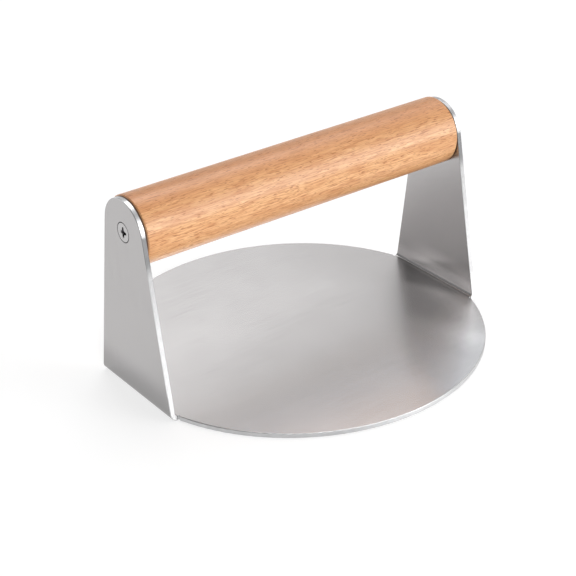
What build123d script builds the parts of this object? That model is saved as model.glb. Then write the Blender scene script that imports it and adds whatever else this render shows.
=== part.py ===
"""Round patty press: a bent sheet-steel plate with a screwed-on beech dowel handle.

Frame: millimetres, +Z up, +X along the handle.  The origin is the centre of the plate's
underside, which is the face that presses the patty.
"""

import math
import os

from build123d import *

# Driving dimensions of the plate
PLATE_DIAMETER = 140.0
SHEET = 1.8
EAR_SPREAD = 138.0  # over the outer faces of the two ears
OVERALL_HEIGHT = 76.0  # from the pressing face to the top of the handle
EAR_TOP_RADIUS = 12.0
BEND_INNER_RADIUS = 1.0
RELIEF_DIAMETER = 1.2  # hole at each end of a bend, so that the sheet folds without tearing
EDGE_BREAK = 0.25  # rounding of the deburred sheet edges

# Driving dimensions of the handle
GRIP_DIAMETER = 25.0
GRIP_CHAMFER = 0.7

# Driving dimensions of the countersunk wood screws
SCREW_LENGTH = 25.0
SCREW_HEAD_DIAMETER = 6.8
SCREW_HEAD_RIM = 0.3
SCREW_SHANK_DIAMETER = 2.8
SCREW_SHANK_END = 3.2  # depth below the head's top where the plain shank stops
SCREW_CORE_DIAMETER = 2.2
SCREW_TIP_LENGTH = 3.0
THREAD_DIAMETER = 3.5
THREAD_PITCH = 1.6
THREAD_TURNS = 10
THREAD_CREST = 0.12  # width of the thread's crest along the axis
THREAD_ROOT = 0.9  # width of the thread where it is buried in the core
THREAD_BURIED = 0.25  # how deep the thread's root lies inside the core
SCREW_HOLE_DIAMETER = 4.1  # hole through the ear

# Driving dimensions of the cross recess in each screw's head
RECESS_SPAN = 3.9
RECESS_WING = 1.0
RECESS_CENTRE_DIAMETER = 2.2
RECESS_DEPTH = 1.6
RECESS_TAPER = 26.5  # degrees between a wing's outer end and the screw's axis

# Derived dimensions
PLATE_RADIUS = PLATE_DIAMETER / 2
EAR_OUTER_FACE = EAR_SPREAD / 2
EAR_INNER_FACE = EAR_OUTER_FACE - SHEET
BEND_OUTER_RADIUS = BEND_INNER_RADIUS + SHEET
BEND_START = EAR_OUTER_FACE - BEND_OUTER_RADIUS
EAR_BASE_WIDTH = 2 * math.sqrt(PLATE_RADIUS**2 - BEND_START**2)  # the chord that the bend follows
AXIS_HEIGHT = OVERALL_HEIGHT - GRIP_DIAMETER / 2
EAR_TOP = AXIS_HEIGHT + EAR_TOP_RADIUS
GRIP_LENGTH = 2 * EAR_INNER_FACE
HEAD_RADIUS = SCREW_HEAD_DIAMETER / 2
COUNTERSINK_DIAMETER = SCREW_HEAD_DIAMETER + 2 * SCREW_HEAD_RIM

SIDES = {"left": -1, "right": 1}


def head_plane(side):
    """Plane on an ear's outer face, centred on the handle's axis, facing outwards."""
    return Plane(
        origin=(side * EAR_OUTER_FACE, 0, AXIS_HEIGHT),
        x_dir=(0, side, 0),
        z_dir=(side, 0, 0),
    )


def make_ear(side):
    """One ear with its bend, tapering from the plate to a round top."""
    bend_centre = (side * BEND_START, BEND_OUTER_RADIUS)
    with BuildPart() as ear:
        with BuildSketch(Plane.XZ):
            with BuildLine():
                outer_bend = CenterArc(bend_centre, BEND_OUTER_RADIUS, 270, side * 90)
                outer_face = Line(outer_bend @ 1, (side * EAR_OUTER_FACE, EAR_TOP))
                top = Line(outer_face @ 1, (side * EAR_INNER_FACE, EAR_TOP))
                Line(top @ 1, (side * EAR_INNER_FACE, BEND_OUTER_RADIUS))
                inner_bend = CenterArc(bend_centre, BEND_INNER_RADIUS, 270, side * 90)
                Line(inner_bend @ 0, outer_bend @ 0)
            make_face()
        extrude(amount=EAR_BASE_WIDTH / 2, both=True)
        with BuildSketch(Plane.YZ):
            with BuildLine():
                Line((-EAR_BASE_WIDTH / 2, 0), (EAR_BASE_WIDTH / 2, 0))
                CenterArc((0, AXIS_HEIGHT), EAR_TOP_RADIUS, 0, 360)
            make_hull()
        extrude(amount=side * EAR_SPREAD, mode=Mode.INTERSECT)
        across = ear.edges().filter_by(Axis.X) + ear.edges().filter_by(Axis.Y)
        at_plate = ear.faces().sort_by(Axis.X)[0 if side > 0 else -1].edges()
        fillet(ear.edges() - across - at_plate, EDGE_BREAK)
    return ear


def make_press_plate():
    """Round plate and its two ears, one piece of sheet."""
    with BuildPart() as plate:
        with BuildSketch():
            Circle(PLATE_RADIUS)
            Rectangle(2 * BEND_START, PLATE_DIAMETER, mode=Mode.INTERSECT)
        extrude(amount=SHEET)
        fillet(plate.edges().filter_by(GeomType.CIRCLE), EDGE_BREAK)
        for side in SIDES.values():
            add(make_ear(side).part)
            with Locations(head_plane(side)):
                CounterSinkHole(SCREW_HOLE_DIAMETER / 2, COUNTERSINK_DIAMETER / 2, depth=2 * SHEET)
        with BuildSketch():
            with GridLocations(2 * BEND_START, EAR_BASE_WIDTH, 2, 2):
                Circle(RELIEF_DIAMETER / 2)
        extrude(amount=2 * SHEET, mode=Mode.SUBTRACT)
    return plate


def make_recess_tool(side):
    """Cross-recess cutter: four tapering wings round a pointed centre."""
    top = head_plane(side)
    top_radius = RECESS_SPAN / 2
    bottom_radius = top_radius - RECESS_DEPTH * math.tan(math.radians(RECESS_TAPER))
    with BuildPart() as cutter:
        with BuildSketch(top):
            Rectangle(RECESS_SPAN, RECESS_WING)
            Rectangle(RECESS_WING, RECESS_SPAN)
        extrude(amount=-RECESS_DEPTH)
        with BuildSketch(top):
            Circle(top_radius)
        with BuildSketch(top.offset(-RECESS_DEPTH)):
            Circle(bottom_radius)
        loft(mode=Mode.INTERSECT)
        with BuildSketch(top):
            Circle(RECESS_CENTRE_DIAMETER / 2)
        with BuildSketch(top.offset(-RECESS_DEPTH)):
            Circle(RECESS_WING / 2)
        loft()
    return cutter


def make_thread(side):
    """The screw's helical rib, its root buried in the core so that the two unite."""
    core_radius = SCREW_CORE_DIAMETER / 2
    height = THREAD_DIAMETER / 2 - core_radius
    thread_length = THREAD_TURNS * THREAD_PITCH
    thread_zone = SCREW_LENGTH - SCREW_TIP_LENGTH - SCREW_SHANK_END
    end_gap = (thread_zone - thread_length) / 2
    start_depth = SCREW_LENGTH - SCREW_TIP_LENGTH - end_gap
    start_centre = Vector(side * (EAR_OUTER_FACE - start_depth), 0, AXIS_HEIGHT)
    with BuildPart() as thread:
        with BuildLine():
            helix = Helix(
                pitch=THREAD_PITCH,
                height=thread_length,
                radius=core_radius,
                center=start_centre,
                direction=(side, 0, 0),
            )
        outwards = (helix @ 0 - start_centre).normalized()
        with BuildSketch(Plane(origin=helix @ 0, x_dir=outwards, z_dir=helix % 0)):
            with BuildLine():
                Polyline(
                    (-THREAD_BURIED, -THREAD_ROOT / 2),
                    (height, -THREAD_CREST / 2),
                    (height, THREAD_CREST / 2),
                    (-THREAD_BURIED, THREAD_ROOT / 2),
                    close=True,
                )
            make_face()
        sweep(path=helix, is_frenet=True)
    return thread


def make_screw(side):
    """Countersunk wood screw, driven in from an ear's outer face towards the middle."""
    shank_radius = SCREW_SHANK_DIAMETER / 2
    core_radius = SCREW_CORE_DIAMETER / 2
    cone_end = SCREW_HEAD_RIM + HEAD_RADIUS - shank_radius
    core_start = SCREW_SHANK_END + shank_radius - core_radius
    core_end = SCREW_LENGTH - SCREW_TIP_LENGTH
    head_centre = (side * EAR_OUTER_FACE, 0, AXIS_HEIGHT)
    with BuildPart() as screw:
        with BuildSketch(Plane(origin=head_centre, x_dir=(0, 0, 1), z_dir=(0, side, 0))):
            with BuildLine():
                Polyline(
                    (0, 0),
                    (HEAD_RADIUS, 0),
                    (HEAD_RADIUS, -SCREW_HEAD_RIM),
                    (shank_radius, -cone_end),
                    (shank_radius, -SCREW_SHANK_END),
                    (core_radius, -core_start),
                    (core_radius, -core_end),
                    (0, -SCREW_LENGTH),
                    close=True,
                )
            make_face()
        revolve(axis=Axis(head_centre, (side, 0, 0)))
        add(make_thread(side).part)
        add(make_recess_tool(side).part, mode=Mode.SUBTRACT)
    return screw


def make_handle_grip(screws):
    """Beech dowel clamped between the ears, with the holes that the screws cut in it."""
    with BuildPart() as grip:
        with BuildSketch(Plane.YZ.offset(-GRIP_LENGTH / 2)):
            with Locations((0, AXIS_HEIGHT)):
                Circle(GRIP_DIAMETER / 2)
        extrude(amount=GRIP_LENGTH)
        chamfer(grip.edges().filter_by(GeomType.CIRCLE), GRIP_CHAMFER)
        for screw in screws:
            add(screw.part, mode=Mode.SUBTRACT)
    return grip


def main():
    os.makedirs("parts", exist_ok=True)
    screws = {name: make_screw(side) for name, side in SIDES.items()}
    pieces = {f"screw_{name}": screw for name, screw in screws.items()}
    pieces["press_plate"] = make_press_plate()
    pieces["handle_grip"] = make_handle_grip(screws.values())
    for name, piece in pieces.items():
        piece.part.label = name
        export_step(piece.part, f"parts/{name}.step")


if __name__ == "__main__":
    main()
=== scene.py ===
"""Looks, studio and camera for the round patty press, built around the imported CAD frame."""

import math

import bpy
from mathutils import Matrix, Vector


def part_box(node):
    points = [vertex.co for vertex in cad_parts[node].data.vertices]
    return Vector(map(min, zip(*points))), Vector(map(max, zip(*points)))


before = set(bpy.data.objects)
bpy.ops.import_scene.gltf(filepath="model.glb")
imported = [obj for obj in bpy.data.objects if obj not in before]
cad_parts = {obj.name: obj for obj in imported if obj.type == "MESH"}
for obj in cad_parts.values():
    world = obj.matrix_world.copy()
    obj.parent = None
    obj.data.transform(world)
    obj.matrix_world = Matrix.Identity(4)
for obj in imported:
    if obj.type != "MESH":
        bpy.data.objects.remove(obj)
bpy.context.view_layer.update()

MM = 0.001

# Places read from the frame, in metres
_, PLATE_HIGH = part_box("press_plate")
GRIP_LOW, GRIP_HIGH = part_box("handle_grip")
HANDLE_HEIGHT = (GRIP_LOW.z + GRIP_HIGH.z) / 2
EAR_FACE = PLATE_HIGH.x

# Camera: the angles it looks from, what it looks at and how far away in metres, its lens in millimetres
CAMERA_AZIMUTH = math.radians(-35.45)
CAMERA_ELEVATION = math.radians(28.52)
CAMERA_ROLL = math.radians(-1.72)
CAMERA_DISTANCE = 0.6078
CAMERA_AIM = Vector((0.0028, 0.0078, 0.0147))
CAMERA_LENS = 102.5
CAMERA_SENSOR = 36.0
CAMERA_CLIP_START = 0.01


class Graph:
    """A node tree with short calls for the nodes that the materials use."""

    def __init__(self, tree):
        self.tree = tree

    def add(self, kind, inputs=None, **settings):
        node = self.tree.nodes.new(kind)
        for name, value in settings.items():
            setattr(node, name, value)
        for name, value in (inputs or {}).items():
            self.feed(node.inputs[name], value)
        return node

    def feed(self, socket, value):
        if isinstance(value, bpy.types.NodeSocket):
            self.tree.links.new(value, socket)
        else:
            socket.default_value = value

    def math(self, operation, first, second=0.0):
        return self.add("ShaderNodeMath", {0: first, 1: second}, operation=operation).outputs[0]

    def vector(self, x, y, z):
        return self.add("ShaderNodeCombineXYZ", {0: x, 1: y, 2: z}).outputs[0]

    def split(self, vector):
        return self.add("ShaderNodeSeparateXYZ", {0: vector}).outputs

    def noise(self, vector, detail=2.0, roughness=0.5, distortion=0.0, scale=1.0):
        inputs = {
            "Vector": vector,
            "Scale": scale,
            "Detail": detail,
            "Roughness": roughness,
            "Distortion": distortion,
        }
        return self.add("ShaderNodeTexNoise", inputs).outputs["Fac"]

    def ease(self, value, low, high, out_low=0.0, out_high=1.0):
        """value from low..high, mapped smoothly to out_low..out_high."""
        inputs = {
            "Value": value,
            "From Min": low,
            "From Max": high,
            "To Min": out_low,
            "To Max": out_high,
        }
        node = self.add("ShaderNodeMapRange", inputs, interpolation_type="SMOOTHSTEP")
        return node.outputs[0]

    def blend(self, factor, first, second):
        """Mix of two numbers."""
        return self.add("ShaderNodeMix", {0: factor, 2: first, 3: second}).outputs[0]

    def mix(self, factor, first, second):
        """Mix of two colours."""
        inputs = {"Factor": factor, 6: first, 7: second}
        return self.add("ShaderNodeMix", inputs, data_type="RGBA").outputs[2]

    def scale(self, vector, factor):
        inputs = {0: vector, "Scale": factor}
        return self.add("ShaderNodeVectorMath", inputs, operation="SCALE").outputs[0]

    def product(self, *factors):
        """All the factors multiplied together."""
        result = factors[0]
        for factor in factors[1:]:
            result = self.math("MULTIPLY", result, factor)
        return result

    def tint(self, colour, tint):
        """A colour multiplied by another, channel by channel."""
        inputs = {0: colour, 1: tint}
        return self.add("ShaderNodeVectorMath", inputs, operation="MULTIPLY").outputs[0]

    def length(self, vector):
        return self.add("ShaderNodeVectorMath", {0: vector}, operation="LENGTH").outputs["Value"]

    def mix_vector(self, factor, first, second):
        """Mix of two directions."""
        inputs = {0: factor, 4: first, 5: second}
        return self.add("ShaderNodeMix", inputs, data_type="VECTOR").outputs[1]

    def bump(self, height, strength, distance, normal=None):
        inputs = {"Height": height, "Strength": strength, "Distance": distance}
        if normal is not None:
            inputs["Normal"] = normal
        return self.add("ShaderNodeBump", inputs).outputs[0]


def new_material(name):
    """An empty material with its graph and its surface shader."""
    material = bpy.data.materials.new(name)
    material.use_nodes = True
    graph = Graph(material.node_tree)
    material.node_tree.nodes.clear()
    output = graph.add("ShaderNodeOutputMaterial")
    shader = graph.add("ShaderNodeBsdfPrincipled")
    graph.feed(output.inputs["Surface"], shader.outputs[0])
    return material, graph, shader


def rgb(red, green, blue):
    return (red, green, blue, 1.0)


def object_place(g):
    """A point's own place, which is also its place in the frame, because the CAD nodes aren't moved."""
    return g.add("ShaderNodeTexCoord").outputs["Object"]


def from_screw_axis(g, y, z):
    """Distance from the line through both screws, which is the handle's axis."""
    return g.length(g.vector(0.0, y, g.math("SUBTRACT", z, HANDLE_HEIGHT)))


# A soft step is (from, to, value before, value after), and goes from 0 to 1 where it gives no values.
# It is laid over a place in metres, a part of the surface's normal, or the height of a noise.


# --- Brushed sheet -----------------------------------------------------------------------

# Which part of the sheet a point is on
EAR_BEGINS = (8 * MM, 12 * MM)
TURNED_SIDEWAYS = (0.08, 0.35)
TURNED_UP = (0.1, 0.4)
FACING_IN = (-0.9, -0.4, 1.0, 0.0)
FACING_OUT = (0.05, 0.3)
FLAT = (0.96, 0.99)
NOT_FLAT = (0.96, 0.99, 1.0, 0.0)
TIPPED_UP = (0.05, 0.15)

# Brushing: how often its lines and streaks change, per metre, along them and across them
LINES_ALONG = 60.0
LINES_ACROSS = 1500.0
STREAKS_ALONG = 28.0
STREAKS_ACROSS = 420.0
STREAKS_SEED = 3.0
LINES_SHARE = 0.7
CLOUDS_SCALE = 38.0
BRUSHING_TONE = (0.3, 0.7)
CLOUDS_TONE = (0.35, 0.7)
STEEL_DARK = rgb(0.495, 0.481, 0.480)
STEEL_LIGHT = rgb(0.530, 0.516, 0.515)
STEEL_CLOUD = rgb(0.525, 0.511, 0.511)

# Painted light and shade on the ears: painted light inside at the foot's near end, painted shade
# outside, most at the foot, and painted shade in the bends
NEAR_FOOT = (6 * MM, 15 * MM, 1.0, 0.0)
INNER_LEVEL = 1.0
INNER_FOOT_PAINTED_LIGHT = (-6 * MM, 18 * MM, 1.75, 0.95)
OUTER_PAINTED_SHADE = (3 * MM, 16 * MM, 0.62, 0.90)
FOLD_PAINTED_SHADE = (0.60, 0.85, 0.30, 0.95)

# Painted light and shade on the plate's top: painted reflections brighter towards the far and near
# rims, a painted highlight in a spot at the near right, and painted shade along the right
FAR_PAINTED_LIGHT = (-10 * MM, 25 * MM, 1.0, 1.13)
NEAR_PAINTED_LIGHT = (-60 * MM, -15 * MM, 1.20, 1.05)
RIGHT_PAINTED_SHADE = (20 * MM, 58 * MM, 1.0, 0.90)
PAINTED_HIGHLIGHT_X = 56 * MM
PAINTED_HIGHLIGHT_Y = -42 * MM
PAINTED_HIGHLIGHT_LEVEL = (6 * MM, 24 * MM, 1.35, 1.0)

# Painted reflection of the right ear in the plate: a dark patch beside the right-hand bend, a core and
# a paler surround with slanting ends
EAR_REFLECTION_NEAR_SLANT = 0.45
EAR_REFLECTION_FAR_SLANT = 1.33
EAR_REFLECTION_FAR_END = (-74 * MM, -66 * MM, 1.0, 0.0)
EAR_REFLECTION_BEND_END = (64.5 * MM, 66 * MM, 1.0, 0.0)
EAR_REFLECTION_CORE = (53 * MM, 60 * MM)
EAR_REFLECTION_CORE_LEVEL = 0.54
EAR_REFLECTION_SURROUND = (24 * MM, 38 * MM)
EAR_REFLECTION_SURROUND_LEVEL = 0.80

# A painted cool tint on the near part of the plate, against the handle's warm reflection there, less so
# at its right
COUNTER_REFLECTION_TINT = (0.95, 1.015, 1.075)
COUNTER_REFLECTION_NEAR = (-55 * MM, -25 * MM, 1.0, 0.0)
COUNTER_REFLECTION_RIGHT = (12 * MM, 34 * MM, 1.0, 0.55)

# Tone of the cut edges: painted light low on the ears and painted shade up them and at their shoulders,
# and duller round the plate
EDGE_TINT = (1.0, 1.0, 1.01)
EAR_EDGE_PAINTED_LIGHT = (25 * MM, 50 * MM, 0.84, 0.58)
PLATE_EDGE_LEVEL = 0.62
SHOULDER_HEIGHT = 61 * MM
SHOULDER_REACH = (4 * MM, 10 * MM, 1.0, 0.0)
SHOULDER_UPRIGHT = (0.25, 0.45, 1.0, 0.0)
SHOULDER_PAINTED_SHADE = 0.45
CHIPS_SCALE = 260.0
CHIPS_LEVEL = (0.3, 0.7, 0.94, 1.03)

# Painted shade in the gap round each screw head in its countersink
COUNTERSINK_SHADE_REACH = (3.7 * MM, 3.75 * MM, 1.0, 0.0)
COUNTERSINK_SHADE = rgb(0.05, 0.05, 0.055)

FACE_ROUGHNESS = 0.235
STREAKS_ROUGHNESS = 0.01
CLOUDS_ROUGHNESS = 0.03
PLATE_EDGE_ROUGHNESS = 0.42
EAR_EDGE_ROUGHNESS = 0.18
ANISOTROPY = 0.75
LINES_BUMP_STRENGTH = 0.008
LINES_BUMP_DEPTH = 0.02 * MM

# The ears' feet are shaded as if they drew in slightly above each bend, by a bump on the normal only
BOW_HEIGHT = (0.0, 8 * MM, 1.0, 0.0)
BOW_DEPTH = 0.45 * MM

# Reflections are drawn out along the tangent, which on the faces runs across the brushing
ACROSS_BRUSHING = (0.0, 1.0, 0.0)
THROUGH_EARS = (1.0, 0.0, 0.0)


class SheetPoint:
    """Where a point of the sheet is, and which part of the sheet that makes it."""

    def __init__(self, g):
        self.place = object_place(g)
        self.normal = g.add("ShaderNodeNewGeometry").outputs["True Normal"]
        self.x, self.y, self.z = g.split(self.place)
        nx, ny, self.nz = g.split(self.normal)

        # The cut edges face across the brushing, or up at the ears' round tops
        sideways = g.ease(g.math("ABSOLUTE", ny), *TURNED_SIDEWAYS)
        self.on_ear = g.ease(self.z, *EAR_BEGINS)
        upwards = g.math("MULTIPLY", g.ease(g.math("ABSOLUTE", self.nz), *TURNED_UP), self.on_ear)
        self.cut_edge = g.math("MAXIMUM", sideways, upwards)

        self.facing_out = g.math("MULTIPLY", nx, g.math("SIGN", self.x))
        self.flat = g.ease(self.nz, *FLAT)
        self.fold = g.product(g.ease(self.nz, *TIPPED_UP), g.ease(self.nz, *NOT_FLAT))


class Brushing:
    """Brushed lines, continuous from the plate through the bends into the ears."""

    def __init__(self, g, at):
        along = g.math("ADD", at.x, at.z)

        def drawn_out(times_along, times_across, seed, **settings):
            lengthwise = g.math("MULTIPLY", along, times_along)
            crosswise = g.math("MULTIPLY", at.y, times_across)
            return g.noise(g.vector(lengthwise, crosswise, seed), **settings)

        self.lines = drawn_out(LINES_ALONG, LINES_ACROSS, 0.0, detail=3.0, roughness=0.6)
        self.streaks = drawn_out(STREAKS_ALONG, STREAKS_ACROSS, STREAKS_SEED, detail=2.0)
        self.clouds = g.noise(at.place, detail=3.0, roughness=0.55, scale=CLOUDS_SCALE)

    def colour(self, g):
        lines = g.math("MULTIPLY", self.lines, LINES_SHARE)
        streaks = g.math("MULTIPLY", self.streaks, 1.0 - LINES_SHARE)
        tone = g.math("ADD", lines, streaks)
        colour = g.mix(g.ease(tone, *BRUSHING_TONE), STEEL_DARK, STEEL_LIGHT)
        return g.mix(g.ease(self.clouds, *CLOUDS_TONE), colour, STEEL_CLOUD)

    def roughness(self, g):
        result = g.math("ADD", FACE_ROUGHNESS, g.math("MULTIPLY", self.streaks, STREAKS_ROUGHNESS))
        return g.math("ADD", result, g.math("MULTIPLY", self.clouds, CLOUDS_ROUGHNESS))


def ear_painted_light(g, at):
    """Painted light and shade on the ears, inside and out. 1.0 elsewhere."""
    painted_foot_light = g.ease(at.y, *INNER_FOOT_PAINTED_LIGHT)
    inner_level = g.blend(g.ease(at.z, *NEAR_FOOT), INNER_LEVEL, painted_foot_light)
    level = g.blend(g.ease(at.facing_out, *FACING_IN), 1.0, inner_level)
    return g.blend(g.ease(at.facing_out, *FACING_OUT), level, g.ease(at.z, *OUTER_PAINTED_SHADE))


def ear_reflection_level(g, at):
    """Painted reflection of the right ear: a dark patch beside the right-hand bend. 1.0 elsewhere."""
    near_side = g.math("ADD", at.x, g.math("MULTIPLY", at.y, EAR_REFLECTION_NEAR_SLANT))
    far_side = g.math("SUBTRACT", at.y, g.math("MULTIPLY", at.x, EAR_REFLECTION_FAR_SLANT))
    far_end = g.ease(far_side, *EAR_REFLECTION_FAR_END)
    core = g.product(g.ease(near_side, *EAR_REFLECTION_CORE), far_end, g.ease(at.x, *EAR_REFLECTION_BEND_END))
    surround = g.product(g.ease(near_side, *EAR_REFLECTION_SURROUND), far_end)
    core_level = g.blend(core, 1.0, EAR_REFLECTION_CORE_LEVEL)
    return g.product(core_level, g.blend(surround, 1.0, EAR_REFLECTION_SURROUND_LEVEL))


def plate_painted_light(g, at):
    """Painted light and shade on the plate's top, with a painted highlight at the near right."""
    highlight_x = g.math("SUBTRACT", at.x, PAINTED_HIGHLIGHT_X)
    highlight_y = g.math("SUBTRACT", at.y, PAINTED_HIGHLIGHT_Y)
    from_highlight = g.length(g.vector(highlight_x, highlight_y, 0.0))
    return g.product(
        g.ease(at.y, *FAR_PAINTED_LIGHT),
        g.ease(at.y, *NEAR_PAINTED_LIGHT),
        g.ease(at.x, *RIGHT_PAINTED_SHADE),
        g.ease(from_highlight, *PAINTED_HIGHLIGHT_LEVEL),
        ear_reflection_level(g, at),
    )


def face_colour(g, at, brushing):
    """Colour of the brushed faces, with painted light and shade on each part of the sheet and a painted
    cool tint against the handle's reflection.
    """
    level = g.blend(at.flat, ear_painted_light(g, at), plate_painted_light(g, at))
    # Painted shade in the bends between the plate and the ears
    level = g.blend(at.fold, level, g.ease(at.nz, *FOLD_PAINTED_SHADE))
    colour = g.scale(brushing.colour(g), level)
    # Painted cool tint that offsets the handle's warm reflection on the near part of the plate
    counter_reflection = g.product(at.flat, g.ease(at.y, *COUNTER_REFLECTION_NEAR), g.ease(at.x, *COUNTER_REFLECTION_RIGHT))
    return g.mix(counter_reflection, colour, g.tint(colour, COUNTER_REFLECTION_TINT))


def edge_colour(g, at):
    """Colour of the cut edges, with painted light and shade up the ears, painted shade at their
    shoulders, and small chips.
    """
    # Painted light low on the ears' cut edges and painted shade higher up
    level = g.blend(at.on_ear, PLATE_EDGE_LEVEL, g.ease(at.z, *EAR_EDGE_PAINTED_LIGHT))
    # Painted shade over the highlight at the ears' shoulders
    from_shoulder = g.math("ABSOLUTE", g.math("SUBTRACT", at.z, SHOULDER_HEIGHT))
    upright = g.ease(at.nz, *SHOULDER_UPRIGHT)
    shoulder_shade = g.math("MULTIPLY", g.ease(from_shoulder, *SHOULDER_REACH), upright)
    chips = g.noise(at.place, detail=2.0, scale=CHIPS_SCALE)
    level = g.math("MULTIPLY", level, g.blend(shoulder_shade, 1.0, SHOULDER_PAINTED_SHADE))
    level = g.math("MULTIPLY", level, g.ease(chips, *CHIPS_LEVEL))
    return g.scale(EDGE_TINT, level)


def brushed_sheet():
    """Stainless sheet, brushed along the handle on the plate and upwards on the ears."""
    material, g, shader = new_material("brushed_sheet")
    at = SheetPoint(g)
    brushing = Brushing(g, at)

    colour = g.mix(at.cut_edge, face_colour(g, at, brushing), edge_colour(g, at))
    # Painted shade in the countersinks' gap round the screw heads
    painted_countersink_shade = g.ease(from_screw_axis(g, at.y, at.z), *COUNTERSINK_SHADE_REACH)
    g.feed(shader.inputs["Base Color"], g.mix(painted_countersink_shade, colour, COUNTERSINK_SHADE))

    edge_roughness = g.blend(at.on_ear, PLATE_EDGE_ROUGHNESS, EAR_EDGE_ROUGHNESS)
    roughness = g.blend(at.cut_edge, brushing.roughness(g), edge_roughness)
    g.feed(shader.inputs["Roughness"], roughness)
    shader.inputs["Metallic"].default_value = 1.0
    shader.inputs["Anisotropic"].default_value = ANISOTROPY

    # The tangent runs along the ears' cut edges, and up and down the plate's rim
    inputs = {0: at.normal, 1: THROUGH_EARS}
    edge_run = g.add("ShaderNodeVectorMath", inputs, operation="CROSS_PRODUCT").outputs[0]
    g.feed(shader.inputs["Tangent"], g.mix_vector(at.cut_edge, ACROSS_BRUSHING, edge_run))

    bow_height = g.product(g.ease(at.z, *BOW_HEIGHT), at.facing_out, -1.0)
    bow = g.bump(bow_height, 1.0, BOW_DEPTH)
    normal = g.bump(brushing.lines, LINES_BUMP_STRENGTH, LINES_BUMP_DEPTH, bow)
    g.feed(shader.inputs["Normal"], normal)
    return material


# --- Beech --------------------------------------------------------------------------------

WOOD_LIGHT = rgb(0.88, 0.515, 0.255)
WOOD_DEEP = rgb(0.62, 0.275, 0.110)
# Painted shade: a darker, redder colour along the top of the handle
WOOD_TOP_SHADE = rgb(0.68, 0.265, 0.100)
WOOD_FLECK = rgb(0.45, 0.165, 0.055)
# Painted shade at the grip's ends, where they meet the ears
WOOD_END_SHADE = rgb(0.16, 0.085, 0.05)

BANDS_TONE = (0.38, 0.62, 0.0, 0.55)
TOP_SHADE_TONE = (HANDLE_HEIGHT + 8 * MM, HANDLE_HEIGHT + 12 * MM, 0.0, 0.65)
FIBRES_TONE = (0.40, 0.62, 0.0, 0.9)
FLECKS_TONE = (0.58, 0.70, 0.0, 0.9)
BIG_FLECKS_TONE = (0.70, 0.74, 0.0, 0.8)
END_SHADE_TONE = (GRIP_HIGH.x - 0.5 * MM, GRIP_HIGH.x - 0.25 * MM)

WOOD_ROUGHNESS = (0.25, 0.8, 0.25, 0.40)
FIBRES_BUMP_STRENGTH = 0.35
FIBRES_BUMP_DEPTH = 0.05 * MM


def beech():
    """Oiled beech: soft growth bands, fine straight fibres and short dark flecks, with painted shade
    along the top and at the ends against the ears.
    """
    material, g, shader = new_material("oiled_beech")
    x, y, z = g.split(object_place(g))

    def grain(length, width, seed, **settings):
        """Noise drawn out along the handle, its blotches length by width in millimetres."""
        stretched = g.vector(
            g.math("ADD", g.math("MULTIPLY", x, 1.0 / (length * MM)), seed),
            g.math("MULTIPLY", y, 1.0 / (width * MM)),
            g.math("MULTIPLY", z, 1.0 / (width * MM)),
        )
        return g.noise(stretched, **settings)

    bands = grain(90.0, 6.0, 5.0, detail=2.0, distortion=0.5)
    waves = grain(14.0, 1.6, 21.0, detail=2.0, distortion=0.6)
    fibres = grain(8.0, 0.40, 1.0, detail=2.0, roughness=0.6)
    flecks = grain(2.4, 0.30, 9.0, detail=1.0)
    big_flecks = grain(5.0, 0.7, 17.0, detail=1.0)
    growth = g.math("ADD", g.math("MULTIPLY", bands, 0.5), g.math("MULTIPLY", waves, 0.5))

    # Each layer is laid over the ones before it: what it follows, where it shows, its colour
    layers = (
        (growth, BANDS_TONE, WOOD_DEEP),
        # painted shade along the top of the handle
        (z, TOP_SHADE_TONE, WOOD_TOP_SHADE),
        (fibres, FIBRES_TONE, WOOD_DEEP),
        (flecks, FLECKS_TONE, WOOD_FLECK),
        (big_flecks, BIG_FLECKS_TONE, WOOD_FLECK),
        # painted shade at the grip's ends, against the ears
        (g.math("ABSOLUTE", x), END_SHADE_TONE, WOOD_END_SHADE),
    )
    colour = WOOD_LIGHT
    for value, step, layer in layers:
        colour = g.mix(g.ease(value, *step), colour, layer)
    g.feed(shader.inputs["Base Color"], colour)

    g.feed(shader.inputs["Roughness"], g.ease(fibres, *WOOD_ROUGHNESS))
    g.feed(shader.inputs["Normal"], g.bump(fibres, FIBRES_BUMP_STRENGTH, FIBRES_BUMP_DEPTH))
    return material


# --- Screws -------------------------------------------------------------------------------

SCREW_DARK = rgb(0.46, 0.45, 0.45)
SCREW_LIGHT = rgb(0.54, 0.53, 0.53)
# Painted shade in the cross recess
SCREW_RECESS_SHADE = rgb(0.12, 0.115, 0.125)
MARKS_SCALE = 900.0
MARKS_ROUGHNESS = (0.2, 0.8, 0.24, 0.36)
MARKS_BUMP_STRENGTH = 0.1
MARKS_BUMP_DEPTH = 0.02 * MM

# The cross recess's painted shade, by depth under the ear's face and distance from the screw's axis
RECESS_TOP = (0.05 * MM, 0.5 * MM)
RECESS_BOTTOM = (1.8 * MM, 2.0 * MM, 1.0, 0.0)
RECESS_REACH = (1.7 * MM, 2.1 * MM, 1.0, 0.0)


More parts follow.
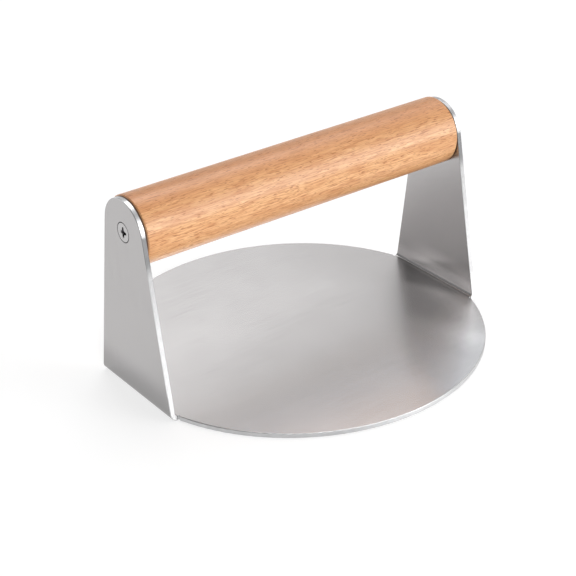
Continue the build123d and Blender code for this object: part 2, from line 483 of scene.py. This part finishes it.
def screw_steel():
    """Turned and tumbled stainless steel, with painted shade in the cross recess."""
    material, g, shader = new_material("screw_steel")
    place = object_place(g)
    x, y, z = g.split(place)
    marks = g.noise(place, detail=3.0, scale=MARKS_SCALE)
    depth = g.math("SUBTRACT", EAR_FACE, g.math("ABSOLUTE", x))
    recess_shade = g.product(
        g.ease(depth, *RECESS_TOP),
        g.ease(depth, *RECESS_BOTTOM),
        g.ease(from_screw_axis(g, y, z), *RECESS_REACH),
    )
    colour = g.mix(recess_shade, g.mix(marks, SCREW_DARK, SCREW_LIGHT), SCREW_RECESS_SHADE)
    g.feed(shader.inputs["Base Color"], colour)
    g.feed(shader.inputs["Roughness"], g.ease(marks, *MARKS_ROUGHNESS))
    shader.inputs["Metallic"].default_value = 1.0
    g.feed(shader.inputs["Normal"], g.bump(marks, MARKS_BUMP_STRENGTH, MARKS_BUMP_DEPTH))
    return material


def dress(node, material):
    """Gives a CAD node one material."""
    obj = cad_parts[node]
    for slot in obj.material_slots:
        slot.material = material
    if not obj.material_slots:
        obj.data.materials.append(material)


# --- Studio -------------------------------------------------------------------------------

# Soft patches of the surroundings: azimuth from +X towards +Y and elevation of the centre,
# half-width and softness, all in degrees, and the brightness added to the room's
ROOM_LEVEL = 1.60
DARKEST_LEVEL = 0.25
PATCHES = (
    (45, 10, 20, 40, -0.85),  # grey backdrop
    (100, 30, 10, 15, -1.25),  # dark panel behind
    (210, 55, 50, 15, -1.35),  # unlit side of the room
    (315, 10, 10, 30, 1.45),  # wall around the key softbox
    (305, 10, 15, 10, 2.30),  # key softbox, low at the right front
    (50, 60, 10, 10, 2.80),  # overhead softbox
    (340, 30, 15, 15, -1.15),  # gap between the softboxes
)


def sky_direction(azimuth, elevation):
    """The direction at an azimuth and an elevation, in degrees."""
    azimuth = math.radians(azimuth)
    elevation = math.radians(elevation)
    across = math.cos(elevation)
    return Vector((across * math.cos(azimuth), across * math.sin(azimuth), math.sin(elevation)))


def make_world():
    """The room, softboxes and dark panels as soft patches of light around the press."""
    world = bpy.data.worlds.new("studio")
    bpy.context.scene.world = world
    world.use_nodes = True
    world.node_tree.nodes.clear()
    g = Graph(world.node_tree)
    direction = g.add("ShaderNodeTexCoord").outputs["Generated"]
    level = ROOM_LEVEL
    for azimuth, elevation, width, softness, gain in PATCHES:
        centre = sky_direction(azimuth, elevation)
        inputs = {0: direction, 1: centre}
        facing = g.add("ShaderNodeVectorMath", inputs, operation="DOT_PRODUCT").outputs["Value"]
        inner = math.cos(math.radians(width))
        outer = math.cos(math.radians(width + softness))
        level = g.math("ADD", level, g.ease(facing, outer, inner, 0.0, gain))
    level = g.math("MAXIMUM", level, DARKEST_LEVEL)
    background = g.add("ShaderNodeBackground", {"Color": rgb(1.0, 1.0, 1.0), "Strength": level})
    output = g.add("ShaderNodeOutputWorld")
    g.feed(output.inputs["Surface"], background.outputs[0])


# The floor lies just under the press, so that it and the plate's underside don't coincide
FLOOR_HALF = 3.0
FLOOR_LEVEL = -0.05 * MM
FLOOR_GREY = rgb(0.38, 0.38, 0.38)
FLOOR_ROUGHNESS = 0.9
FLOOR_GLOW = 0.72


def make_floor():
    """A white table that glows, as if lit from below, wide enough to fill every view."""
    mesh = bpy.data.meshes.new("floor")
    turns = ((-1, -1), (1, -1), (1, 1), (-1, 1))
    corners = [(side * FLOOR_HALF, end * FLOOR_HALF, FLOOR_LEVEL) for side, end in turns]
    mesh.from_pydata(corners, [], [(0, 1, 2, 3)])
    floor = bpy.data.objects.new("floor", mesh)
    bpy.context.scene.collection.objects.link(floor)
    material, g, shader = new_material("white_table")
    shader.inputs["Base Color"].default_value = FLOOR_GREY
    shader.inputs["Roughness"].default_value = FLOOR_ROUGHNESS
    shader.inputs["Specular IOR Level"].default_value = 0.0
    shader.inputs["Emission Color"].default_value = rgb(1.0, 1.0, 1.0)
    shader.inputs["Emission Strength"].default_value = FLOOR_GLOW
    # Clear from below, so the press's underside can be seen
    backfacing = g.add("ShaderNodeNewGeometry").outputs["Backfacing"]
    g.feed(shader.inputs["Alpha"], g.math("SUBTRACT", 1.0, backfacing))
    mesh.materials.append(material)


def make_camera():
    """A long lens at the photographer's standpoint."""
    back = Vector((
        math.sin(CAMERA_AZIMUTH) * math.cos(CAMERA_ELEVATION),
        -math.cos(CAMERA_AZIMUTH) * math.cos(CAMERA_ELEVATION),
        math.sin(CAMERA_ELEVATION),
    ))
    right = Vector((math.cos(CAMERA_AZIMUTH), math.sin(CAMERA_AZIMUTH), 0.0))
    up = back.cross(right)
    turn = Matrix((right, up, back)).transposed() @ Matrix.Rotation(CAMERA_ROLL, 3, "Z")
    data = bpy.data.cameras.new("camera")
    data.lens = CAMERA_LENS
    data.sensor_width = CAMERA_SENSOR
    data.clip_start = CAMERA_CLIP_START
    camera = bpy.data.objects.new("camera", data)
    camera.matrix_world = Matrix.Translation(CAMERA_AIM + back * CAMERA_DISTANCE) @ turn.to_4x4()
    bpy.context.scene.collection.objects.link(camera)
    bpy.context.scene.camera = camera


make_camera()
make_world()
make_floor()

dress("press_plate", brushed_sheet())
dress("handle_grip", beech())
screw_material = screw_steel()
dress("screw_left", screw_material)
dress("screw_right", screw_material)

bpy.context.scene.view_settings.view_transform = "Standard"
